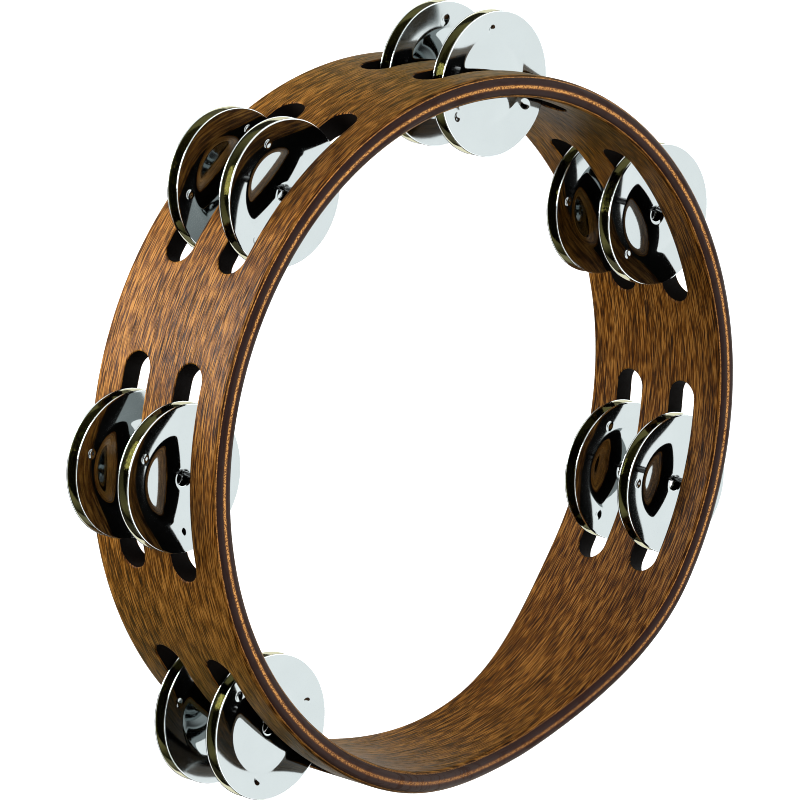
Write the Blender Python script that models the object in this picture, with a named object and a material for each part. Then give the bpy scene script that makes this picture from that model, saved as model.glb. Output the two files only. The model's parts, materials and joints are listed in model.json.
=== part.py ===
"""A headless wooden tambourine: a bent plywood shell, waisted at the grip, with two rows of
slots. Steel pins cross the slots and carry loose pairs of dished steel jingles.

Units are metres, +Z is up, and the shell's axis is horizontal, along Y. The front edge faces -Y.
The origin is the middle of the grip: half-way across the shell's depth and through its wall.
Angles around the shell are measured from +Z towards +X.
"""

import math

import bmesh
import bpy
from mathutils import Vector

MM = 0.001

# Shell
SHELL_OUTER_RADIUS = 127.0 * MM
SHELL_WALL = 8.0 * MM
SHELL_DEPTH = 64.5 * MM
EDGE_ROUNDING = 2.6 * MM
SHELL_STEPS = 90
ROUNDING_STEPS = 2

# Grip: each edge is cut in towards the other, deepest at GRIP_ANGLE
GRIP_ANGLE = math.radians(166.2)
GRIP_CUT = 9.4 * MM
GRIP_FLAT_HALF_ANGLE = math.radians(2.0)
GRIP_RUN_OUT_ANGLE = math.radians(39.0)

# Stations: one slot of each row, one pin and two pairs of jingles
STATION_NAMES = ("lower_left", "left", "upper_left", "top", "upper_right", "right")
STATION_SPACING = math.radians(49.0)
ROW_SPACING = 25.9 * MM
ROW_NAMES = ("front_row", "back_row")

# Slots
SLOT_WIDTH = 12.4 * MM
SLOT_HALF_ANGLE = math.radians(17.2)
SLOT_END_STEPS = 5
SLOT_SIDE_STEPS = 6

# Pins
PIN_RADIUS = 1.0 * MM
PIN_SEGMENTS = 12
PIN_BITE = 6.0 * MM          # length held in the front wall, beyond the front row's slots
PIN_SINK = 1.0 * MM          # depth of the pin's end below the back edge
PART_GAP = 0.3 * MM          # running gap between neighbouring pieces

# Jingles
JINGLE_RADIUS = 25.4 * MM
JINGLE_SHEET = 0.5 * MM
JINGLE_HOLE_RADIUS = 3.0 * MM
JINGLE_BEND_RADIUS = 16.3 * MM
JINGLE_BEND_DEPTH = 2.0 * MM     # how far the bend lies behind the rim
JINGLE_HOLE_DEPTH = 0.4 * MM     # how far the hole's edge lies behind the rim
JINGLE_SEGMENTS = 24
PAIR_SPACING = 4.8 * MM          # from rim to rim of one pair

# How far each pair has slid back along its pin from the middle of its slot: front row, back row
PAIR_SLIDE = {
    "lower_left": (2.2 * MM, 2.4 * MM),
    "left": (3.1 * MM, 3.1 * MM),
    "upper_left": (3.1 * MM, 3.1 * MM),
    "top": (2.8 * MM, 3.0 * MM),
    "upper_right": (3.1 * MM, 3.1 * MM),
    "right": (2.5 * MM, 3.1 * MM),
}

# Derived sizes
SHELL_INNER_RADIUS = SHELL_OUTER_RADIUS - SHELL_WALL
SHELL_MIDDLE_RADIUS = SHELL_OUTER_RADIUS - SHELL_WALL / 2
HALF_DEPTH = SHELL_DEPTH / 2
PIN_HOLE_RADIUS = PIN_RADIUS + PART_GAP
PIN_FRONT_END = -ROW_SPACING / 2 - SLOT_WIDTH / 2 - PIN_BITE
PIN_BACK_END = HALF_DEPTH - PIN_SINK
JINGLE_HANG = JINGLE_HOLE_RADIUS - PIN_RADIUS - PART_GAP
RING_CENTRE = -SHELL_MIDDLE_RADIUS * Vector((math.sin(GRIP_ANGLE), 0.0, math.cos(GRIP_ANGLE)))

# Colours: base colour, roughness, metallic
WOOD = ("stained_wood", (0.20, 0.095, 0.045, 1.0), 0.45, 0.0)
JINGLE_STEEL = ("jingle_steel", (0.80, 0.80, 0.80, 1.0), 0.08, 1.0)
PIN_STEEL = ("pin_steel", (0.62, 0.62, 0.62, 1.0), 0.25, 1.0)


def clear_scene():
    for item in list(bpy.data.objects):
        bpy.data.objects.remove(item, do_unlink=True)


def make_material(name, colour, roughness, metallic):
    material = bpy.data.materials.new(name)
    material.use_nodes = True
    shader = material.node_tree.nodes["Principled BSDF"]
    shader.inputs["Base Color"].default_value = colour
    shader.inputs["Roughness"].default_value = roughness
    shader.inputs["Metallic"].default_value = metallic
    return material


def mesh_from(bm, name, material=None):
    """Turn a bmesh into mesh data with outward faces and smooth shading."""
    bmesh.ops.recalc_face_normals(bm, faces=bm.faces)
    mesh = bpy.data.meshes.new(name)
    bm.to_mesh(mesh)
    bm.free()
    mesh.shade_smooth()
    mesh.set_sharp_from_angle(angle=math.radians(35))
    if material:
        mesh.materials.append(material)
    return mesh


def add_object(name, mesh, location=(0.0, 0.0, 0.0)):
    item = bpy.data.objects.new(name, mesh)
    item.location = location
    bpy.context.scene.collection.objects.link(item)
    return item


def as_cutter(item):
    item.hide_render = True
    item.display_type = "WIRE"
    return item


def ring_point(angle, radius, y):
    """The point at this angle, radius and depth on the shell's own axes."""
    return RING_CENTRE + Vector((radius * math.sin(angle), y, radius * math.cos(angle)))


def station_angle(index):
    """The stations are spread evenly about the point opposite the grip."""
    middle = (len(STATION_NAMES) - 1) / 2
    return GRIP_ANGLE - math.pi + (index - middle) * STATION_SPACING


def row_y(row):
    return (row - 0.5) * ROW_SPACING


def grip_cut(angle):
    """How far each edge is cut in at this angle: a flat floor with cosine run-outs."""
    off = abs((angle - GRIP_ANGLE + math.pi) % (2 * math.pi) - math.pi)
    run = min(max((off - GRIP_FLAT_HALF_ANGLE) / GRIP_RUN_OUT_ANGLE, 0.0), 1.0)
    return GRIP_CUT * (0.5 + 0.5 * math.cos(math.pi * run))


def wall_section(angle):
    """The wall's cross-section at this angle as (radius, y) points, corners rounded."""
    half = HALF_DEPTH - grip_cut(angle)
    corners = (
        (SHELL_OUTER_RADIUS - EDGE_ROUNDING, half - EDGE_ROUNDING, 0),
        (SHELL_INNER_RADIUS + EDGE_ROUNDING, half - EDGE_ROUNDING, 90),
        (SHELL_INNER_RADIUS + EDGE_ROUNDING, EDGE_ROUNDING - half, 180),
        (SHELL_OUTER_RADIUS - EDGE_ROUNDING, EDGE_ROUNDING - half, 270),
    )
    points = []
    for radius, y, start in corners:
        for step in range(ROUNDING_STEPS + 1):
            turn = math.radians(start + 90 * step / ROUNDING_STEPS)
            points.append((radius + EDGE_ROUNDING * math.cos(turn), y + EDGE_ROUNDING * math.sin(turn)))
    return points


def bridge_rings(bm, rings, closed):
    """Skin consecutive rings of vertices with quads."""
    count = len(rings[0])
    pairs = list(zip(rings, rings[1:]))
    if closed:
        pairs.append((rings[-1], rings[0]))
    for near, far in pairs:
        for i in range(count):
            j = (i + 1) % count
            bm.faces.new((near[i], near[j], far[j], far[i]))


def slot_sections():
    """A slot as (arc length, half width) sections at the wall's middle radius, ends rounded."""
    end = SLOT_WIDTH / 2
    straight = SLOT_HALF_ANGLE * SHELL_MIDDLE_RADIUS - end
    rounded = []
    for step in range(1, SLOT_END_STEPS + 1):
        turn = math.radians(90 * step / (SLOT_END_STEPS + 0.5))
        rounded.append((straight + end * math.sin(turn), end * math.cos(turn)))
    sections = [(-arc, half) for arc, half in reversed(rounded)]
    for step in range(SLOT_SIDE_STEPS + 1):
        sections.append((straight * (2 * step / SLOT_SIDE_STEPS - 1), end))
    return sections + rounded


def build_slot_cutter():
    """One radial prism for each slot, standing clear of both faces of the wall."""
    bm = bmesh.new()
    inner = SHELL_INNER_RADIUS - SHELL_WALL / 2
    outer = SHELL_OUTER_RADIUS + SHELL_WALL / 2
    for index in range(len(STATION_NAMES)):
        for row in range(len(ROW_NAMES)):
            rings = []
            for arc, half in slot_sections():
                angle = station_angle(index) + arc / SHELL_MIDDLE_RADIUS
                corners = ((inner, -half), (inner, half), (outer, half), (outer, -half))
                ring = [bm.verts.new(ring_point(angle, r, row_y(row) + y)) for r, y in corners]
                rings.append(ring)
            bridge_rings(bm, rings, closed=False)
            bm.faces.new(rings[0])
            bm.faces.new(rings[-1])
    return as_cutter(add_object("slot_cutter", mesh_from(bm, "slot_cutter")))


def add_rod(bm, centre, radius, y_from, y_to):
    """A closed round rod along Y through a centre point."""
    rings = []
    for y in (y_from, y_to):
        ring = []
        for step in range(PIN_SEGMENTS):
            turn = 2 * math.pi * step / PIN_SEGMENTS
            offset = Vector((radius * math.cos(turn), y, radius * math.sin(turn)))
            ring.append(bm.verts.new(centre + offset))
        rings.append(ring)
    bridge_rings(bm, rings, closed=False)
    for ring in rings:
        bm.faces.new(ring)


def build_pin_hole_cutter():
    """A blind hole for each pin, drilled in from the back edge."""
    bm = bmesh.new()
    for index in range(len(STATION_NAMES)):
        centre = ring_point(station_angle(index), SHELL_MIDDLE_RADIUS, 0.0)
        add_rod(bm, centre, PIN_HOLE_RADIUS, PIN_FRONT_END - PART_GAP, HALF_DEPTH + PIN_SINK)
    return as_cutter(add_object("pin_hole_cutter", mesh_from(bm, "pin_hole_cutter")))


def build_shell():
    bm = bmesh.new()
    rings = []
    for step in range(SHELL_STEPS):
        angle = 2 * math.pi * step / SHELL_STEPS
        rings.append([bm.verts.new(ring_point(angle, r, y)) for r, y in wall_section(angle)])
    bridge_rings(bm, rings, closed=True)
    shell = add_object("shell", mesh_from(bm, "shell", make_material(*WOOD)))
    for cutter in (build_slot_cutter(), build_pin_hole_cutter()):
        cut = shell.modifiers.new(cutter.name, "BOOLEAN")
        cut.operation = "DIFFERENCE"
        cut.solver = "EXACT"
        cut.object = cutter
    return shell


def build_pins():
    """One plain steel pin for each station, crossing the slots of both rows."""
    bm = bmesh.new()
    add_rod(bm, Vector(), PIN_RADIUS, PIN_FRONT_END, PIN_BACK_END)
    mesh = mesh_from(bm, "pin", make_material(*PIN_STEEL))
    for index, station in enumerate(STATION_NAMES):
        add_object(f"pin_{station}", mesh, ring_point(station_angle(index), SHELL_MIDDLE_RADIUS, 0.0))


def build_jingle_mesh():
    """A dished disc turned about Y, hanging from a pin on the local Y axis.

    Local y is 0 at the middle of the rim. The rim is nearest to -Y, the bend is deepest.
    """
    front = (
        (JINGLE_HOLE_RADIUS, JINGLE_HOLE_DEPTH),
        (JINGLE_BEND_RADIUS, JINGLE_BEND_DEPTH),
        (JINGLE_RADIUS, 0.0),
    )
    section = [(r, y - JINGLE_SHEET / 2) for r, y in front]
    section += [(r, y + JINGLE_SHEET / 2) for r, y in reversed(front)]
    bm = bmesh.new()
    rings = []
    for step in range(JINGLE_SEGMENTS):
        turn = 2 * math.pi * step / JINGLE_SEGMENTS
        ring = [(r * math.sin(turn), y, r * math.cos(turn) - JINGLE_HANG) for r, y in section]
        rings.append([bm.verts.new(point) for point in ring])
    bridge_rings(bm, rings, closed=True)
    return mesh_from(bm, "jingle", make_material(*JINGLE_STEEL))


def build_jingles():
    """Two discs face to face on each slot's stretch of pin, bends nearly touching."""
    mesh = build_jingle_mesh()
    for index, station in enumerate(STATION_NAMES):
        for row, row_name in enumerate(ROW_NAMES):
            middle = row_y(row) + PAIR_SLIDE[station][row]
            for number, side in ((1, -1), (2, 1)):
                y = middle + side * PAIR_SPACING / 2
                place = ring_point(station_angle(index), SHELL_MIDDLE_RADIUS, y)
                disc = add_object(f"jingle_{station}_{row_name}_{number}", mesh, place)
                disc.rotation_euler.z = math.pi if side > 0 else 0.0


clear_scene()
build_shell()
build_pins()
build_jingles()
bpy.context.view_layer.update()
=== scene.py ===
"""The looks of a headless wooden tambourine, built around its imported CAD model.

The shell is rebuilt as a fine mesh with the plies showing on its rounded edges and softened
slots, the jingles as dished steel discs with struck dimples, and the pins as round wire.
Units are metres, in the row's own frame. Angles round the shell go from +Z towards +X.
"""

import json
import math
import random

import bmesh
import bpy
from mathutils import Matrix, Vector


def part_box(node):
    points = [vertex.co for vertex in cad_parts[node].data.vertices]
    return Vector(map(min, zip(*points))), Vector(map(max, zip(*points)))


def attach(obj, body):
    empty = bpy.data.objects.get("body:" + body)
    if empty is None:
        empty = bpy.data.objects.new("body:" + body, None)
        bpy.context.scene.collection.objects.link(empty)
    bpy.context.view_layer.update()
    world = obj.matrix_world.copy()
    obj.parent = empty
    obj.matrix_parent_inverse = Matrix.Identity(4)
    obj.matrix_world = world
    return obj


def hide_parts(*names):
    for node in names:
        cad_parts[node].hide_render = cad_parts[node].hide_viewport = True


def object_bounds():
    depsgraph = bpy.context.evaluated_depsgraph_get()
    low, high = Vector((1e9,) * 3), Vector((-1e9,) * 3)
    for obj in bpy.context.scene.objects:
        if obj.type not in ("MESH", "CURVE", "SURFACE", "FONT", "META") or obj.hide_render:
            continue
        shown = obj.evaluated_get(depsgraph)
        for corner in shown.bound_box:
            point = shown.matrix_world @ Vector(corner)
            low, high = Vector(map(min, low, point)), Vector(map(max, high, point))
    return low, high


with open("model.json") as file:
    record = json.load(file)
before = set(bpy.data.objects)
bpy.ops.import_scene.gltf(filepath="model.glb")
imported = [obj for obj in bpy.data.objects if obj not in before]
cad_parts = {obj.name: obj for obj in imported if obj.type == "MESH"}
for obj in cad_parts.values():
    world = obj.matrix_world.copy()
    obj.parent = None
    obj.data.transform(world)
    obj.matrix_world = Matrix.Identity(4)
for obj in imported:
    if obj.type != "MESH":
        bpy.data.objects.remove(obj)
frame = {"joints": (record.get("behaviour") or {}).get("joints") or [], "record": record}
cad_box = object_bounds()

MM = 0.001

# ------------------------------------------------------------------ sizes
WALL = 8.0 * MM
EDGE_ROUNDING = 2.6 * MM
VENEER = 0.75 * MM
CORE_PLY = 1.7 * MM
GRIP_CUT = 9.4 * MM
GRIP_FLAT_HALF_ANGLE = math.radians(2.0)
GRIP_RUN_OUT_ANGLE = math.radians(39.0)
PLY_GROOVE = 0.07 * MM
PLY_GROOVE_WIDTH = 0.13 * MM
SHELL_STEPS = 360
SIDE_STEPS = 12
ROUNDING_STEPS = 14
EDGE_FLAT_STEPS = 8

# Edges that bend more than this, in degrees, stay sharp
SHARP_ANGLE = 35.0
SHELL_SHARP_ANGLE = 38.0
TURNED_SHARP_ANGLE = 60.0

ROW_SPACING = 25.9 * MM
SLOT_WIDTH = 12.4 * MM
SLOT_HALF_ANGLE = math.radians(17.2)
SLOT_SOFTENING = 0.45 * MM
# How far the slots' walls reach from the ring's middle plane
SLOT_REACH = ROW_SPACING / 2 + SLOT_WIDTH / 2 + SLOT_SOFTENING
SLOT_END_STEPS = 20
SLOT_SIDE_STEPS = 22
SLOT_FLARE_STEPS = 4
# The slot cutter's layers past each face of the wall: how far past, and how much wider all round
CUTTER_PAST = ((0.05 * MM, 1.04 * SLOT_SOFTENING), (1.2 * MM, 1.6 * SLOT_SOFTENING))

PIN_RADIUS = 1.0 * MM
PIN_ROUNDING = 0.35 * MM
PIN_STEPS = 30
PIN_TIP_STEPS = 4
PIN_SEGMENTS = 32
# The countersunk mouth above each pin: distance past the back edge, and radius
PIN_MOUTH = ((-3.0 * MM, 1.25 * MM), (-0.3 * MM, 1.25 * MM),
             (0.02 * MM, 1.55 * MM), (1.0 * MM, 2.0 * MM))
PIN_MOUTH_SEGMENTS = 28

JINGLE_RADIUS = 25.4 * MM
JINGLE_SHEET = 0.5 * MM
JINGLE_HOLE_RADIUS = 3.0 * MM
JINGLE_LIP = 0.9 * MM
JINGLE_LIP_SLOPE = 0.9
JINGLE_BEND_OUTSIDE = 16.9 * MM
JINGLE_BEND_INSIDE = 13.6 * MM
JINGLE_HANG = 1.7 * MM
DOME_RADIUS = 57.0 * MM
FLANGE_SLOPE = {"front_row": 0.221, "back_row": 0.170}
# The profile is added up in fine steps, and one in three of its points is kept
PROFILE_STEPS = 150
PROFILE_KEPT = 3
EDGE_STEPS = 4
RIM_BULGE = JINGLE_SHEET / 2
HOLE_BULGE = -0.4 * JINGLE_SHEET
DIMPLES = 3
DIMPLE_PLACE = 18.9 * MM
DIMPLE_RADIUS = 1.75 * MM
DIMPLE_DEPTH = 0.52 * MM
DIMPLE_ROUNDNESS = 1.5
# The disc's cross-sections are closer together over each dimple, to this many of its radii
DIMPLE_MARGIN = 1.35
DIMPLE_STEPS = 18
PLAIN_STEPS = 26
# For the turns of the discs further from the front, which the photo mostly hides
DIMPLE_SEED = 7

# ------------------------------------------------------------------ places, from the frame
shell_low, shell_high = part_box("shell")
OUTER_RADIUS = (shell_high.x - shell_low.x) / 2
INNER_RADIUS = OUTER_RADIUS - WALL
MIDDLE_RADIUS = OUTER_RADIUS - WALL / 2
HALF_DEPTH = (shell_high.y - shell_low.y) / 2
mounts = {m["name"]: m for m in frame["record"]["mounts"]}
grip_axis = mounts["grip"]["axis"]
GRIP_ANGLE = math.atan2(grip_axis[0], grip_axis[2])
CENTRE = Vector((-MIDDLE_RADIUS * math.sin(GRIP_ANGLE), 0.0,
                 -MIDDLE_RADIUS * math.cos(GRIP_ANGLE)))
joints = {joint["child"]: joint for joint in frame["joints"]}
STATIONS = ("lower_left", "left", "upper_left", "top", "upper_right", "right")
ROWS = ("front_row", "back_row")
# How far the disc nearer the front has turned on its pin, in degrees
DIMPLE_TURN = {
    ("lower_left", "front_row"): 75, ("lower_left", "back_row"): 50,
    ("left", "front_row"): 60, ("left", "back_row"): 51,
    ("upper_left", "front_row"): -20, ("upper_left", "back_row"): 25,
    ("top", "front_row"): 0, ("top", "back_row"): 8,
    ("upper_right", "front_row"): -12, ("upper_right", "back_row"): 40,
    ("right", "front_row"): 40, ("right", "back_row"): -20,
}


def ring_point(angle, radius, y):
    """The point at this angle, radius and depth on the shell's own axes."""
    return CENTRE + Vector((radius * math.sin(angle), y, radius * math.cos(angle)))


def station_angle(station):
    low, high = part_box("pin_" + station)
    middle = (low + high) / 2 - CENTRE
    return math.atan2(middle.x, middle.z)


def grip_cut(angle):
    """How far each edge is cut in at this angle: a flat floor with cosine run-outs."""
    off = abs((angle - GRIP_ANGLE + math.pi) % (2 * math.pi) - math.pi)
    run = min(max((off - GRIP_FLAT_HALF_ANGLE) / GRIP_RUN_OUT_ANGLE, 0.0), 1.0)
    return GRIP_CUT * (0.5 + 0.5 * math.cos(math.pi * run))


# ------------------------------------------------------------------ node helpers
class Nodes:
    """Short calls for building a shader tree."""

    def __init__(self, tree):
        self.tree = tree

    def add(self, kind, **settings):
        node = self.tree.nodes.new(kind)
        for key, value in settings.items():
            setattr(node, key, value)
        return node

    def feed(self, socket, value):
        if isinstance(value, bpy.types.NodeSocket):
            self.tree.links.new(value, socket)
        else:
            socket.default_value = value

    def math(self, operation, *values):
        node = self.add("ShaderNodeMath", operation=operation)
        for socket, value in zip(node.inputs, values):
            self.feed(socket, value)
        return node.outputs[0]

    def total(self, base, *terms):
        """The base, plus each value times its weight."""
        result = base
        for value, weight in terms:
            result = self.math("ADD", result, self.math("MULTIPLY", value, weight))
        return result

    def invert(self, value):
        return self.math("SUBTRACT", 1.0, value)

    def vmath(self, operation, a, b):
        node = self.add("ShaderNodeVectorMath", operation=operation)
        self.feed(node.inputs[0], a)
        self.feed(node.inputs[1], b)
        return node.outputs["Value"] if operation == "DOT_PRODUCT" else node.outputs[0]

    def mix(self, factor, a, b):
        """Colour a where the factor is 0, and b where it is 1: sockets 6 and 7 are the colours."""
        node = self.add("ShaderNodeMix", data_type="RGBA")
        self.feed(node.inputs[0], factor)
        self.feed(node.inputs[6], a)
        self.feed(node.inputs[7], b)
        return node.outputs[2]

    def ramp(self, factor, stops):
        node = self.add("ShaderNodeValToRGB")
        elements = node.color_ramp.elements
        while len(elements) < len(stops):
            elements.new(0.5)
        for element, (place, colour) in zip(elements, stops):
            element.position = place
            element.color = colour
        self.feed(node.inputs[0], factor)
        return node.outputs[0]

    def noise(self, vector, scale=1.0, detail=3.0, roughness=0.55):
        node = self.add("ShaderNodeTexNoise")
        self.feed(node.inputs["Vector"], vector)
        node.inputs["Scale"].default_value = scale
        node.inputs["Detail"].default_value = detail
        node.inputs["Roughness"].default_value = roughness
        return node.outputs[0]

    def step(self, value, low, high):
        """A smooth step from 0 at low to 1 at high."""
        node = self.add("ShaderNodeMapRange", interpolation_type="SMOOTHSTEP")
        self.feed(node.inputs[0], value)
        node.inputs[1].default_value = low
        node.inputs[2].default_value = high
        return node.outputs[0]

    def bump(self, height, strength, distance):
        node = self.add("ShaderNodeBump")
        node.inputs["Strength"].default_value = strength
        node.inputs["Distance"].default_value = distance
        self.feed(node.inputs["Height"], height)
        return node.outputs[0]

    def object_place(self):
        return self.add("ShaderNodeTexCoord").outputs["Object"]


def new_material(name):
    material = bpy.data.materials.new(name)
    material.use_nodes = True
    return material, Nodes(material.node_tree), material.node_tree.nodes["Principled BSDF"]


def grey(value):
    return (value, value, value, 1.0)


# ------------------------------------------------------------------ wood
FACE_DARK = (0.013, 0.0036, 0.0003, 1.0)
FACE_MID = (0.088, 0.0280, 0.0016, 1.0)
FACE_LIGHT = (0.238, 0.104, 0.0200, 1.0)
FACE_TONES = ((0.350, FACE_DARK), (0.423, FACE_MID), (0.512, FACE_LIGHT))
BANDS_WEIGHT, STREAKS_WEIGHT, FINE_WEIGHT = 0.13, 0.15, 0.57
OUTER_SIDE_LIGHTER = 0.02
PORE = (0.0065, 0.0019, 0.0004, 1.0)
CROSS_PLY = (0.026, 0.0085, 0.0062, 1.0)
CROSS_PLY_DARK = (0.009, 0.0036, 0.0030, 1.0)
CORE_GOLD = (0.62, 0.29, 0.075, 1.0)
CORE_BROWN = (0.110, 0.036, 0.0090, 1.0)
# Pale line at each veneer's joint: partly glue, partly painted glints
GLUE_LINE_AND_GLINT = (0.50, 0.22, 0.055, 1.0)
# Slot walls: stained end grain, darkened to near black as painted shade inside the slots
SLOT_WALL_STAIN_AND_SHADE = (0.0032, 0.0018, 0.0011, 1.0)
SLOT_WALL_STAIN_AND_SHADE_DARK = (0.0012, 0.0008, 0.0006, 1.0)
LACQUER_SHEEN = (0.85, 0.82, 0.15, 1.0)

# Noise scales of each layer of the figure: round the ring, and across it
BANDS = (9.0, 120.0)
STREAKS = (28.0, 1500.0)
FINE_GRAIN = (150.0, 2200.0)
LONG_PORES = (70.0, 2800.0)
SHORT_PORES = (200.0, 3000.0)
PORE_CROWDING = (24.0, 260.0)
VESSELS = (34.0, 640.0)
VESSEL_BREAKS = (130.0, 800.0)
END_STREAKS = (60.0, 2600.0)
END_FINE = (700.0, 900.0)
SPECKLE = 1700.0
SLOT_FIBRES = (500.0, 2200.0, 500.0)

# Noise values between which each kind of pore comes in, and how dark each kind is
LONG_PORE_RANGE = (0.655, 0.685)
SHORT_PORE_RANGE = (0.680, 0.715)
VESSEL_RANGE = (0.006, 0.030)
VESSEL_BREAK_RANGE = (0.42, 0.56)
CROWDING_WEIGHT = 0.12
SHORT_PORE_WEIGHT = 0.7
VESSEL_WEIGHT = 0.60
PORE_DARKNESS = 0.88

# Where the plies' lines fade, as distances from the middle of their own ply or joint
PLY_WAVER = 0.5 * MM
GLUE_WAVER_SHARE = 0.4
CORE_GLOW_FADE = (0.15 * MM, 1.2 * MM)
CORE_LINE_FADE = (0.22 * MM, 0.72 * MM)
GLUE_AND_GLINT_FADE = (0.06 * MM, 0.22 * MM)
VENEER_FADE = 0.15 * MM
# Specks along the pale core and glue lines are painted glints
CORE_GLINT_RANGE = (0.38, 0.60)
GLUE_GLINT_RANGE = (0.45, 0.58)
GLUE_FAINTEST = 0.40
CORE_GLOW_STRENGTH = 0.8
END_STREAK_STRENGTH = 0.9
# The pale lines on the edges, partly painted glints, fade out towards the low side of the ring
PALE_LINE_FADE_HEIGHT = (-0.125, -0.045)
PALE_LINE_LOW_SHARE = 0.30


class RingPlace:
    """Where a point of the shell lies: on the ring's axes, by radius, and by depth in the wall."""

    def __init__(self, n):
        self.n = n
        self.point = n.vmath("SUBTRACT", n.object_place(), tuple(CENTRE))
        split = n.add("ShaderNodeSeparateXYZ")
        n.feed(split.inputs[0], self.point)
        self.x, self.y, self.z = split.outputs
        self.radius = n.math("SQRT", n.total(n.math("MULTIPLY", self.x, self.x), (self.z, self.z)))
        self.depth = n.math("SUBTRACT", OUTER_RADIUS, self.radius)

    def grain(self, scales, across=None, **settings):
        """Noise with long features round the ring, and short ones along Y or what across gives."""
        round_scale, across_scale = scales
        if across is None:
            across = self.y
        join = self.n.add("ShaderNodeCombineXYZ")
        self.n.feed(join.inputs[0], self.n.math("MULTIPLY", self.x, round_scale))
        self.n.feed(join.inputs[1], self.n.math("MULTIPLY", across, across_scale))
        self.n.feed(join.inputs[2], self.n.math("MULTIPLY", self.z, round_scale))
        return self.n.noise(join.outputs[0], **settings)


def pore_lines(n, ring):
    """Dark pores and hair-thin vessel lines in the face veneer, from 0 to 1."""
    crowding = n.math("MULTIPLY", ring.grain(PORE_CROWDING, detail=2.0), CROWDING_WEIGHT)
    long_pores = ring.grain(LONG_PORES, detail=2.0, roughness=0.5)
    long_pores = n.step(n.math("ADD", long_pores, crowding), *LONG_PORE_RANGE)
    short_pores = ring.grain(SHORT_PORES, detail=1.0)
    short_pores = n.step(n.math("ADD", short_pores, crowding), *SHORT_PORE_RANGE)
    # The vessels are the contour lines of a noise, broken along their length
    vessels = ring.grain(VESSELS, detail=1.5, roughness=0.45)
    vessels = n.math("ABSOLUTE", n.math("SUBTRACT", vessels, 0.5))
    vessels = n.invert(n.step(vessels, *VESSEL_RANGE))
    breaks = n.step(ring.grain(VESSEL_BREAKS, detail=1.0), *VESSEL_BREAK_RANGE)
    vessels = n.math("MULTIPLY", vessels, breaks)
    pores = n.math("MAXIMUM", long_pores, n.math("MULTIPLY", short_pores, SHORT_PORE_WEIGHT))
    return n.math("MAXIMUM", pores, n.math("MULTIPLY", vessels, VESSEL_WEIGHT))


def ply_edges(n, ring):
    """The plies as the rounded edges cut them, and where the face veneers take over.

    The cross plies are dark, and the core and the glue lines between plies are pale, in specks that
    are partly painted glints.
    """
    end_streaks = ring.grain(END_STREAKS, across=ring.radius, detail=3.0, roughness=0.6)
    end_fine = ring.grain(END_FINE, detail=3.0, roughness=0.65)
    speckle = n.noise(ring.point, scale=SPECKLE, detail=2.0, roughness=0.6)
    from_middle = n.math("ABSOLUTE", n.math("SUBTRACT", ring.depth, WALL / 2))
    waver = n.math("MULTIPLY", n.math("SUBTRACT", end_fine, 0.5), PLY_WAVER)
    wavering = n.math("ADD", from_middle, waver)
    # The pale lines fade out towards the low side of the ring
    high_on_ring = n.step(ring.z, *PALE_LINE_FADE_HEIGHT)
    clear = n.total(PALE_LINE_LOW_SHARE, (high_on_ring, 1.0 - PALE_LINE_LOW_SHARE))

    streaked = n.math("MULTIPLY", end_streaks, END_STREAK_STRENGTH)
    plies = n.mix(streaked, CROSS_PLY, CROSS_PLY_DARK)
    core_glow = n.invert(n.step(wavering, *CORE_GLOW_FADE))
    plies = n.mix(n.math("MULTIPLY", core_glow, CORE_GLOW_STRENGTH), plies, CORE_BROWN)
    # Pale core line, broken into specks that are painted glints
    core_line_and_glints = n.invert(n.step(wavering, *CORE_LINE_FADE))
    core_line_and_glints = n.math("MULTIPLY", core_line_and_glints, n.step(speckle, *CORE_GLINT_RANGE))
    plies = n.mix(n.math("MULTIPLY", core_line_and_glints, clear), plies, CORE_GOLD)
    # Pale line at each veneer's joint, partly glue and partly painted glints
    from_joint = n.math("ABSOLUTE", n.math("SUBTRACT", from_middle, WALL / 2 - VENEER))
    glue = n.invert(n.step(n.total(from_joint, (waver, GLUE_WAVER_SHARE)), *GLUE_AND_GLINT_FADE))
    glue_glint = n.step(speckle, *GLUE_GLINT_RANGE)
    glue = n.math("MULTIPLY", n.total(GLUE_FAINTEST, (glue_glint, 1.0 - GLUE_FAINTEST)), glue)
    plies = n.mix(n.math("MULTIPLY", glue, clear), plies, GLUE_LINE_AND_GLINT)
    in_veneer = n.step(from_middle, WALL / 2 - VENEER, WALL / 2 - VENEER + VENEER_FADE)
    return plies, in_veneer


def wood_material():
    """Stained plywood: face grain runs round the ring, plies show by depth in the wall."""
    material, n, shader = new_material("stained_wood_grain")
    ring = RingPlace(n)
    bands = ring.grain(BANDS, detail=3.0, roughness=0.6)
    outer_side = n.math("LESS_THAN", ring.depth, WALL / 2)
    bands = n.total(bands, (outer_side, OUTER_SIDE_LIGHTER))
    streaks = ring.grain(STREAKS, detail=3.0, roughness=0.65)
    fine = ring.grain(FINE_GRAIN, detail=1.5, roughness=0.6)
    pores = pore_lines(n, ring)
    tone = n.total(0.0, (bands, BANDS_WEIGHT), (streaks, STREAKS_WEIGHT), (fine, FINE_WEIGHT))
    face = n.mix(n.math("MULTIPLY", pores, PORE_DARKNESS), n.ramp(tone, FACE_TONES), PORE)
    plies, in_veneer = ply_edges(n, ring)

    n.feed(shader.inputs["Base Color"], n.mix(in_veneer, plies, face))
    n.feed(shader.inputs["Roughness"], n.total(0.34, (fine, 0.22), (pores, 0.25)))
    shader.inputs["Specular IOR Level"].default_value = 0.08
    shader.inputs["Sheen Weight"].default_value = 0.05
    shader.inputs["Sheen Roughness"].default_value = 0.45
    shader.inputs["Sheen Tint"].default_value = LACQUER_SHEEN
    height = n.total(0.0, (fine, 0.35), (streaks, 0.45), (pores, -0.55))
    n.feed(shader.inputs["Normal"], n.bump(height, strength=0.30, distance=0.12 * MM))
    return material


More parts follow.
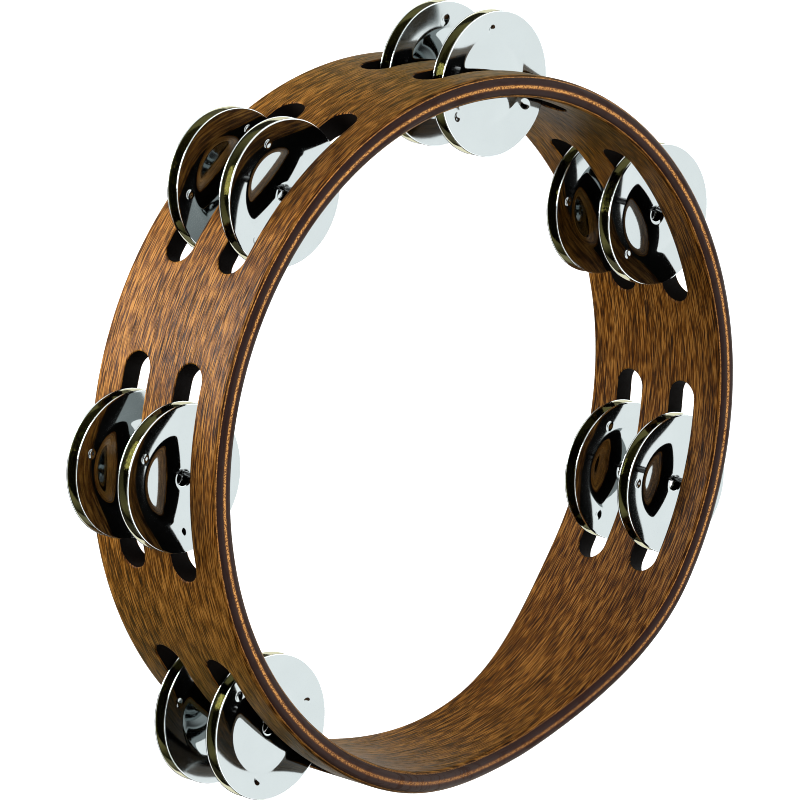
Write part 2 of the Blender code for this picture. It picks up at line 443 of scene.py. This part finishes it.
def slot_stain_and_shade_material():
    """End grain inside the slots, stained darker than the faces, and deepened to near black by
    painted shade.
    """
    material, n, shader = new_material("slot_wall_stain_and_shade")
    fibres = n.noise(n.vmath("MULTIPLY", n.object_place(), SLOT_FIBRES), detail=3.0)
    n.feed(shader.inputs["Base Color"], n.mix(fibres, SLOT_WALL_STAIN_AND_SHADE_DARK, SLOT_WALL_STAIN_AND_SHADE))
    n.feed(shader.inputs["Roughness"], n.total(0.55, (fibres, 0.3)))
    shader.inputs["Specular IOR Level"].default_value = 0.04
    return material


# ------------------------------------------------------------------ steel
# Tint, roughness and unevenness of each face of a disc, in the order of its material slots.
# The inside is the side that faces the other disc of the pair; its olive tint is a painted
# reflection.
DISC_STEELS = {
    "jingle_plated": ((0.352, 0.388, 0.391, 1.0), 0.045, 0.08),
    "jingle_inside_olive_reflection": ((0.36, 0.355, 0.25, 1.0), 0.05, 0.08),
    # The cut edge's bright tint is partly bare steel and partly a painted highlight along the rims
    "jingle_cut_edge_and_highlight": ((0.76, 0.81, 0.81, 1.0), 0.14, 0.0),
}
DULL_SHARE = 0.93
CLOUDS = 90.0
SMEARS = 420.0
STAMPING_WAVES = 160.0
WIRE_DARK = 0.42
WIRE_LIGHT = 0.66
WIRE_LINES = (9000.0, 160.0, 9000.0)


def steel_material(name, tint, roughness, wave):
    """Bright sheet with a faint unevenness from stamping, and smears from handling."""
    material, n, shader = new_material(name)
    place = n.object_place()
    dull = tuple(DULL_SHARE * channel for channel in tint[:3]) + (1.0,)
    smear = n.noise(place, scale=SMEARS, detail=4.0, roughness=0.6)
    n.feed(shader.inputs["Base Color"], n.mix(n.noise(place, scale=CLOUDS, detail=2.0), dull, tint))
    shader.inputs["Metallic"].default_value = 1.0
    n.feed(shader.inputs["Roughness"], n.total(roughness, (smear, 0.03)))
    height = n.noise(place, scale=STAMPING_WAVES, detail=1.0)
    n.feed(shader.inputs["Normal"], n.bump(height, strength=wave, distance=0.05 * MM))
    return material


def wire_material():
    """Drawn steel wire, with fine lines along it."""
    material, n, shader = new_material("pin_wire")
    lines = n.noise(n.vmath("MULTIPLY", n.object_place(), WIRE_LINES), detail=2.0)
    n.feed(shader.inputs["Base Color"], n.mix(lines, grey(WIRE_DARK), grey(WIRE_LIGHT)))
    shader.inputs["Metallic"].default_value = 1.0
    n.feed(shader.inputs["Roughness"], n.total(0.12, (lines, 0.16)))
    return material


# ------------------------------------------------------------------ mesh helpers
def finish_mesh(bm, name, *materials, sharp=SHARP_ANGLE):
    """Turn a bmesh into mesh data with outward faces and smooth shading."""
    bmesh.ops.recalc_face_normals(bm, faces=bm.faces)
    mesh = bpy.data.meshes.new(name)
    bm.to_mesh(mesh)
    bm.free()
    mesh.shade_smooth()
    mesh.set_sharp_from_angle(angle=math.radians(sharp))
    for material in materials:
        mesh.materials.append(material)
    return mesh


def new_object(name, mesh):
    item = bpy.data.objects.new(name, mesh)
    bpy.context.scene.collection.objects.link(item)
    return item


def bridge(bm, rings, closed):
    """Skin consecutive rings of vertices with quads."""
    count = len(rings[0])
    pairs = list(zip(rings, rings[1:]))
    if closed:
        pairs.append((rings[-1], rings[0]))
    for near, far in pairs:
        for i in range(count):
            j = (i + 1) % count
            bm.faces.new((near[i], near[j], far[j], far[i]))


def circle_about(bm, centre, radius, y, segments):
    """A ring of vertices about an axis along Y through the centre, at this y."""
    ring = []
    for i in range(segments):
        turn = math.tau * i / segments
        ring.append(bm.verts.new((centre.x + radius * math.cos(turn), y,
                                  centre.z + radius * math.sin(turn))))
    return ring


# ------------------------------------------------------------------ shell
def ply_relief(radius):
    """How far the edge's surface is sunk at this radius, by the lines between plies."""
    from_middle = abs(radius - MIDDLE_RADIUS)
    sunk = 0.0
    for line in (CORE_PLY / 2, WALL / 2 - VENEER):
        sunk += PLY_GROOVE * math.exp(-((from_middle - line) / PLY_GROOVE_WIDTH) ** 2)
    return sunk


def nose_profile():
    """One rounded edge as (radius, distance back from the edge's front), outside to inside."""
    points = []
    outer = OUTER_RADIUS - EDGE_ROUNDING
    inner = INNER_RADIUS + EDGE_ROUNDING
    for i in range(ROUNDING_STEPS + 1):
        turn = math.pi / 2 * i / ROUNDING_STEPS
        points.append((outer, math.cos(turn), math.sin(turn)))
    for i in range(1, EDGE_FLAT_STEPS):
        points.append((outer + (inner - outer) * i / EDGE_FLAT_STEPS, 0.0, 1.0))
    for i in range(ROUNDING_STEPS + 1):
        turn = math.pi / 2 * i / ROUNDING_STEPS
        points.append((inner, -math.sin(turn), math.cos(turn)))
    profile = []
    for centre, across, forward in points:
        reach = EDGE_ROUNDING - ply_relief(centre + EDGE_ROUNDING * across)
        profile.append((centre + reach * across, EDGE_ROUNDING - reach * forward))
    return profile


NOSE = nose_profile()


def wall_loop(angle):
    """The wall's whole cross-section at this angle, as (radius, y) points."""
    half = HALF_DEPTH - grip_cut(angle)
    low, high = -half + EDGE_ROUNDING, half - EDGE_ROUNDING
    loop = [(radius, -half + back) for radius, back in NOSE]
    loop += [(INNER_RADIUS, low + (high - low) * i / SIDE_STEPS) for i in range(1, SIDE_STEPS)]
    loop += [(radius, half - back) for radius, back in reversed(NOSE)]
    loop += [(OUTER_RADIUS, high + (low - high) * i / SIDE_STEPS) for i in range(1, SIDE_STEPS)]
    return loop


def slot_outline(grow):
    """The slot's outline, unrolled, as (arc, y) points, made larger all round by grow."""
    end = SLOT_WIDTH / 2
    straight = SLOT_HALF_ANGLE * MIDDLE_RADIUS - end
    points = []
    for side in (1, -1):
        for i in range(SLOT_END_STEPS + 1):
            turn = math.pi * i / SLOT_END_STEPS
            points.append((side * (straight + (end + grow) * math.sin(turn)),
                           side * (end + grow) * math.cos(turn)))
        for i in range(1, SLOT_SIDE_STEPS):
            points.append((side * straight * (1 - 2 * i / SLOT_SIDE_STEPS), -side * (end + grow)))
    return points


def slot_layers():
    """Radius and growth of the cutter's outline, flared where it meets each face."""
    flare = []
    for i in range(SLOT_FLARE_STEPS + 1):
        turn = math.pi / 2 * i / SLOT_FLARE_STEPS
        flare.append((SLOT_SOFTENING * (1 - math.cos(turn)), SLOT_SOFTENING * (1 - math.sin(turn))))
    layers = [(INNER_RADIUS - past, grow) for past, grow in reversed(CUTTER_PAST)]
    layers += [(INNER_RADIUS + inward, grow) for inward, grow in flare]
    layers += [(OUTER_RADIUS - inward, grow) for inward, grow in reversed(flare)]
    layers += [(OUTER_RADIUS + past, grow) for past, grow in CUTTER_PAST]
    return layers


def add_slot_cutter(bm, station_middle, row_middle):
    rings = []
    for radius, grow in slot_layers():
        rings.append([
            bm.verts.new(ring_point(station_middle + arc / MIDDLE_RADIUS, radius, row_middle + y))
            for arc, y in slot_outline(grow)])
    bridge(bm, rings, closed=False)
    for ring in (rings[0], rings[-1]):
        bmesh.ops.triangle_fill(bm, use_beauty=True, edges=[
            bm.edges.get((a, b)) for a, b in zip(ring, ring[1:] + ring[:1])])


def add_mouth_cutter(bm, station_middle):
    hole = ring_point(station_middle, MIDDLE_RADIUS, 0.0)
    rings = [circle_about(bm, hole, radius, HALF_DEPTH + past, PIN_MOUTH_SEGMENTS)
             for past, radius in PIN_MOUTH]
    bridge(bm, rings, closed=False)
    bm.faces.new(rings[0])
    bm.faces.new(rings[-1])


def build_cutters():
    bm = bmesh.new()
    for station in STATIONS:
        middle = station_angle(station)
        for side in (-0.5, 0.5):
            add_slot_cutter(bm, middle, side * ROW_SPACING)
        add_mouth_cutter(bm, middle)
    return new_object("cutter", finish_mesh(bm, "cutter"))


def cut_away(item, cutter):
    """Cut the cutter's solids out of the item's mesh, and drop the cutter."""
    cut = item.modifiers.new("slots", "BOOLEAN")
    cut.operation = "DIFFERENCE"
    cut.solver = "EXACT"
    cut.object = cutter
    bpy.context.view_layer.update()
    evaluated = item.evaluated_get(bpy.context.evaluated_depsgraph_get())
    done = bpy.data.meshes.new_from_object(evaluated)
    item.modifiers.clear()
    item.data = done
    bpy.data.objects.remove(cutter, do_unlink=True)


def is_slot_wall(point):
    off_axis = point - CENTRE
    depth = OUTER_RADIUS - math.hypot(off_axis.x, off_axis.z)
    return SLOT_SOFTENING < depth < WALL - SLOT_SOFTENING and abs(off_axis.y) < SLOT_REACH


def build_shell(face_wood, slot_stain_and_shade_wood):
    bm = bmesh.new()
    rings = []
    for i in range(SHELL_STEPS):
        angle = math.tau * i / SHELL_STEPS
        rings.append([bm.verts.new(ring_point(angle, r, y)) for r, y in wall_loop(angle)])
    bridge(bm, rings, closed=True)
    shell = new_object("plywood_shell", finish_mesh(bm, "plywood_shell", face_wood, slot_stain_and_shade_wood))
    cut_away(shell, build_cutters())
    for face in shell.data.polygons:
        face.material_index = 1 if is_slot_wall(face.center) else 0
    shell.data.shade_smooth()
    shell.data.set_sharp_from_angle(angle=math.radians(SHELL_SHARP_ANGLE))
    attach(shell, "frame")
    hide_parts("shell")


# ------------------------------------------------------------------ pins
def pin_profile(low, high):
    """The pin's side as (radius, y) points, rounded at both ends."""
    straight = high - low - 2 * PIN_ROUNDING
    profile = []
    for i in range(PIN_TIP_STEPS + 1):
        turn = math.pi / 2 * i / PIN_TIP_STEPS
        profile.append((PIN_RADIUS - PIN_ROUNDING + PIN_ROUNDING * math.sin(turn),
                        low + PIN_ROUNDING - PIN_ROUNDING * math.cos(turn)))
    for i in range(1, PIN_STEPS):
        profile.append((PIN_RADIUS, low + PIN_ROUNDING + straight * i / PIN_STEPS))
    for i in range(PIN_TIP_STEPS + 1):
        turn = math.pi / 2 * i / PIN_TIP_STEPS
        profile.append((PIN_RADIUS - PIN_ROUNDING + PIN_ROUNDING * math.cos(turn),
                        high - PIN_ROUNDING + PIN_ROUNDING * math.sin(turn)))
    return profile


def build_pin(station, material):
    low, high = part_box("pin_" + station)
    centre = (low + high) / 2
    bm = bmesh.new()
    rings = [circle_about(bm, centre, radius, y, PIN_SEGMENTS)
             for radius, y in pin_profile(low.y, high.y)]
    bridge(bm, rings, closed=False)
    for ring, y in ((rings[0], low.y), (rings[-1], high.y)):
        tip = bm.verts.new((centre.x, y, centre.z))
        for i in range(PIN_SEGMENTS):
            bm.faces.new((ring[i], ring[(i + 1) % PIN_SEGMENTS], tip))
    mesh = finish_mesh(bm, "wire_" + station, material, sharp=TURNED_SHARP_ANGLE)
    pin = new_object("wire_" + station, mesh)
    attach(pin, "frame")
    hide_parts("pin_" + station)


# ------------------------------------------------------------------ jingles
def smoothstep(value, low, high):
    t = min(max((value - low) / (high - low), 0.0), 1.0)
    return t * t * (3 - 2 * t)


def jingle_slope(radius, flange_slope):
    """Rise of the sheet away from the rim's plane, per unit of radius."""
    dome = radius / DOME_RADIUS
    blend = smoothstep(radius, JINGLE_BEND_INSIDE, JINGLE_BEND_OUTSIDE)
    slope = dome + (-flange_slope - dome) * blend
    lip = 1.0 - smoothstep(radius, JINGLE_HOLE_RADIUS, JINGLE_HOLE_RADIUS + JINGLE_LIP)
    return slope - JINGLE_LIP_SLOPE * lip


def jingle_profile(flange_slope):
    """The sheet's middle as (radius, depth behind the rim's plane), from the hole to the rim."""
    width = JINGLE_RADIUS - JINGLE_HOLE_RADIUS
    radii = [JINGLE_HOLE_RADIUS + width * i / PROFILE_STEPS for i in range(PROFILE_STEPS + 1)]
    depth = 0.0
    depths = [0.0]
    for outer, inner in zip(reversed(radii[1:]), reversed(radii[:-1])):
        depth -= jingle_slope((outer + inner) / 2, flange_slope) * (outer - inner)
        depths.append(depth)
    return list(zip(radii, reversed(depths)))[::PROFILE_KEPT]


def sheet_sides(flange_slope):
    """The sheet's near and far surfaces, as (radius, depth) points from the hole to the rim."""
    half = JINGLE_SHEET / 2
    sides = []
    for side in (-1, 1):
        row = []
        for radius, depth in jingle_profile(flange_slope):
            slope = jingle_slope(radius, flange_slope)
            length = math.hypot(1.0, slope)
            row.append((radius - side * half * slope / length, depth + side * half / length))
        sides.append(row)
    return sides


def round_edge(start, end, bulge):
    """Points of a rounded edge from one surface's end to the other's, standing out by bulge."""
    radius, depth = (start[0] + end[0]) / 2, (start[1] + end[1]) / 2
    points = []
    for i in range(1, EDGE_STEPS):
        turn = math.pi * i / EDGE_STEPS
        points.append((radius + (start[0] - radius) * math.cos(turn) + bulge * math.sin(turn),
                       depth + (start[1] - depth) * math.cos(turn)))
    return points


def jingle_angles(turn):
    """Angles of the disc's cross-sections, closer together over the dimples."""
    dense = DIMPLE_RADIUS * DIMPLE_MARGIN / DIMPLE_PLACE
    plain = math.tau / DIMPLES - 2 * dense
    angles = []
    for k in range(DIMPLES):
        start = turn + math.tau * k / DIMPLES
        angles += [start - dense + 2 * dense * i / DIMPLE_STEPS for i in range(DIMPLE_STEPS)]
        angles += [start + dense + plain * i / PLAIN_STEPS for i in range(PLAIN_STEPS)]
    return angles


def jingle_point(radius, depth, angle, turn, facing):
    """A point of the disc about the local Y axis, sunk where it lies in a struck dimple."""
    x, z = radius * math.sin(angle), radius * math.cos(angle)
    for k in range(DIMPLES):
        dimple = turn + math.tau * k / DIMPLES
        off = math.hypot(x - DIMPLE_PLACE * math.sin(dimple), z - DIMPLE_PLACE * math.cos(dimple))
        off /= DIMPLE_RADIUS
        if off < 1.0:
            depth += DIMPLE_DEPTH * (1 - off * off) ** DIMPLE_ROUNDNESS
    return Vector((x, depth * facing, z))


def build_jingle_mesh(turn, facing, flange_slope, steels):
    """A dished disc with struck dimples, turned by an angle: plated, inside and cut-edge faces.

    facing is 1 for a disc open towards -Y and -1 for one open towards +Y.
    """
    near, far = sheet_sides(flange_slope)
    rim = round_edge(near[-1], far[-1], RIM_BULGE)
    hole_edge = round_edge(far[0], near[0], HOLE_BULGE)
    section = near + rim + far[::-1] + hole_edge
    bm = bmesh.new()
    rings = []
    for angle in jingle_angles(turn):
        rings.append([bm.verts.new(jingle_point(radius, depth, angle, turn, facing))
                      for radius, depth in section])
    bridge(bm, rings, closed=True)
    far_from = len(near) + len(rim)
    far_to = far_from + len(far) - 1
    for index, face in enumerate(bm.faces):
        step = index % len(section)
        if far_from <= step < far_to:
            face.material_index = 1
        elif step >= len(near) - 1:
            face.material_index = 2
    return finish_mesh(bm, "jingle", *steels, sharp=TURNED_SHARP_ANGLE)


def build_jingles(steels):
    rng = random.Random(DIMPLE_SEED)
    for station in STATIONS:
        for row in ROWS:
            for number, facing in ((1, 1), (2, -1)):
                place = f"{station}_{row}_{number}"
                body = "jingle_" + place
                turn = rng.uniform(0.0, math.tau / DIMPLES)
                if number == 1:
                    turn = math.radians(DIMPLE_TURN[station, row])
                mesh = build_jingle_mesh(turn, facing, FLANGE_SLOPE[row], steels)
                mesh.name = "disc_" + body
                pin_axis = Vector(joints[body]["pos_m"])
                mesh.transform(Matrix.Translation(pin_axis + Vector((0.0, 0.0, -JINGLE_HANG))))
                disc = new_object("disc_" + place, mesh)
                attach(disc, body)
                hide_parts(body)


# ------------------------------------------------------------------ studio
FLOOR_DROP = 0.25
FLOOR_HALF_SIZE = 6.0
FLOOR_CELLS = 8
FLOOR_GLOW = 0.8
PAPER = 0.9
AMBIENT = 0.09
# Soft panels: direction, cosine where it fades out and where it is full, brightness
PANELS = (
    ((0.62, -0.72, -0.22), 0.22, 0.52, 1.95),     # right front, down over the floor
    ((-0.20, 0.10, 1.0), 0.55, 0.95, 0.74),       # overhead
    ((0.60, 0.66, -0.26), 0.72, 0.97, 1.25),      # behind right, low
    ((-0.62, -0.62, -0.45), 0.72, 0.97, 0.18),    # left front, low
)
PANEL_FOOT = (0.60, 0.84)     # how far below the horizon the panels fade out, as a sine
SOFTBOX_PLACE = (-0.35, 0.16, 0.185)
SOFTBOX_SIZE = 0.26
SOFTBOX_POWER = 4.0
FILL_FROM = (-0.88, -0.40, 0.0)
FILL_STRENGTH = 0.20
FILL_SPREAD = 0.8
FILM_FILTER = 1.0

CAMERA_AZIMUTH = math.radians(-44.034)
CAMERA_ELEVATION = math.radians(13.896)
CAMERA_DISTANCE = 2.12794
CAMERA_LEFT = 0.029928
CAMERA_RAISE = 0.013345
CAMERA_LENS = 276.26
CAMERA_SENSOR = 36.0
CAMERA_FAR_END = 50.0


def light_surroundings():
    """Soft panels for light and reflections; the camera itself sees plain white."""
    world = bpy.data.worlds.new("studio")
    bpy.context.scene.world = world
    world.use_nodes = True
    n = Nodes(world.node_tree)
    background = world.node_tree.nodes["Background"]
    direction = n.add("ShaderNodeTexCoord").outputs["Generated"]
    light = AMBIENT
    for toward, edge, full, strength in PANELS:
        facing = n.vmath("DOT_PRODUCT", direction, tuple(Vector(toward).normalized()))
        light = n.total(light, (n.step(facing, edge, full), strength))
    below = n.vmath("DOT_PRODUCT", direction, (0.0, 0.0, -1.0))
    light = n.math("MULTIPLY", light, n.invert(n.step(below, *PANEL_FOOT)))
    seen = n.add("ShaderNodeLightPath").outputs["Is Camera Ray"]
    n.feed(background.inputs["Color"], n.mix(seen, light, grey(1.0)))
    background.inputs["Strength"].default_value = 1.0


def lay_floor():
    """Bright paper well below the object. It lights nothing, shades nothing and isn't mirrored."""
    bm = bmesh.new()
    bmesh.ops.create_grid(bm, x_segments=FLOOR_CELLS, y_segments=FLOOR_CELLS,
                          size=FLOOR_HALF_SIZE)
    material, _, shader = new_material("floor_paper")
    shader.inputs["Base Color"].default_value = grey(PAPER)
    shader.inputs["Roughness"].default_value = 0.9
    shader.inputs["Emission Color"].default_value = grey(1.0)
    shader.inputs["Emission Strength"].default_value = FLOOR_GLOW
    floor = new_object("floor", finish_mesh(bm, "floor", material))
    floor.location.z = cad_box[0][2] - FLOOR_DROP
    floor.visible_glossy = False
    floor.visible_diffuse = False
    floor.visible_shadow = False


def add_lamp(name, kind, shining_from, **settings):
    """A lamp that shines from this direction towards the middle of the ring."""
    lamp = bpy.data.lights.new(name, kind)
    for key, value in settings.items():
        setattr(lamp, key, value)
    item = bpy.data.objects.new(name, lamp)
    item.rotation_euler = (-Vector(shining_from)).to_track_quat("-Z", "Y").to_euler()
    bpy.context.scene.collection.objects.link(item)
    return item


def studio():
    """The lights and the floor, and how the picture's colours and pixels are made."""
    light_surroundings()
    lay_floor()
    softbox = add_lamp("softbox", "AREA", SOFTBOX_PLACE, size=SOFTBOX_SIZE, energy=SOFTBOX_POWER)
    softbox.location = CENTRE + Vector(SOFTBOX_PLACE)
    softbox.visible_camera = False
    fill = add_lamp("fill", "SUN", FILL_FROM, energy=FILL_STRENGTH, angle=FILL_SPREAD)
    fill.visible_glossy = False
    scene = bpy.context.scene
    scene.view_settings.view_transform = "Standard"
    scene.view_settings.look = "None"
    scene.cycles.filter_width = FILM_FILTER


def camera():
    """The camera at the photograph's viewing angle, aimed from the front edge's centre."""
    back = Vector((math.sin(CAMERA_AZIMUTH) * math.cos(CAMERA_ELEVATION),
                   -math.cos(CAMERA_AZIMUTH) * math.cos(CAMERA_ELEVATION),
                   math.sin(CAMERA_ELEVATION)))
    right = Vector((math.cos(CAMERA_AZIMUTH), math.sin(CAMERA_AZIMUTH), 0.0))
    up = back.cross(right)
    front = Vector((CENTRE.x, -HALF_DEPTH, CENTRE.z))
    data = bpy.data.cameras.new("camera")
    data.sensor_width = CAMERA_SENSOR
    data.lens = CAMERA_LENS
    data.clip_end = CAMERA_FAR_END
    item = bpy.data.objects.new("camera", data)
    turn = Matrix((right, up, back)).transposed().to_4x4()
    spot = front + back * CAMERA_DISTANCE - right * CAMERA_LEFT + up * CAMERA_RAISE
    item.matrix_world = Matrix.Translation(spot) @ turn
    bpy.context.scene.collection.objects.link(item)
    bpy.context.scene.camera = item


# ------------------------------------------------------------------ build
camera()
build_shell(wood_material(), slot_stain_and_shade_material())
wire = wire_material()
for name in STATIONS:
    build_pin(name, wire)
build_jingles([steel_material(name, *look) for name, look in DISC_STEELS.items()])
studio()
bpy.context.view_layer.update()
